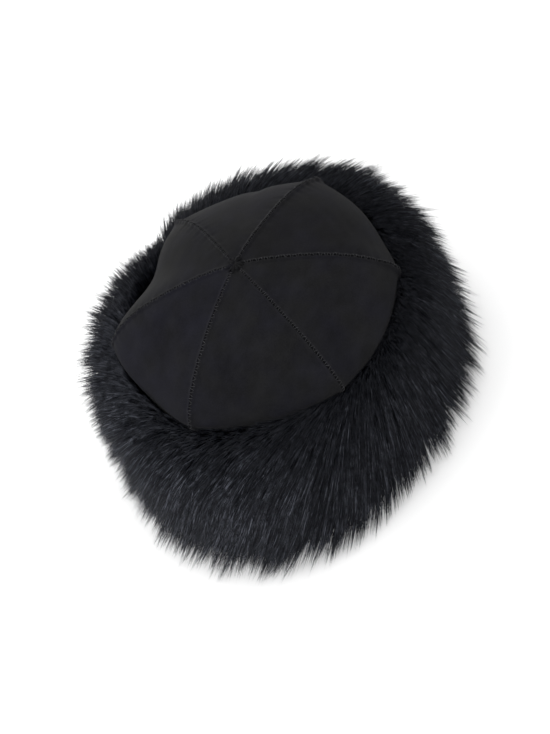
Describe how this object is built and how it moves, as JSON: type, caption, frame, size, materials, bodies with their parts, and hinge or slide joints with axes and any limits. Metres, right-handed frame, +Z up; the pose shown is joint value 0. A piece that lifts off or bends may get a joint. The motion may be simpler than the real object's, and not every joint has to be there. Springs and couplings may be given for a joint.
{
  "type": "fur-trimmed winter hat",
  "caption": "Winter hat: a soft suede dome of stitched gores, open below for the head, in a deep cuff of long fur that runs all round.",
  "frame": {"origin": "middle of the hat's outer box, on the surface that it stands on", "axes": "+Z up, -Y towards the front, +X to the wearer's left"},
  "size_m": [0.2728, 0.3158, 0.1657],
  "materials": {
    "suede": "black napped suede, matte, with a faint cool sheen",
    "fur": "black long-haired pile, glossy along the hairs"
  },
  "bodies": {
    "root": {"crown_panel_1": "suede", "crown_panel_2": "suede", "crown_panel_3": "suede", "crown_panel_4": "suede", "crown_panel_5": "suede", "crown_panel_6": "suede", "fur_cuff": "fur"}
  },
  "joints": []
}
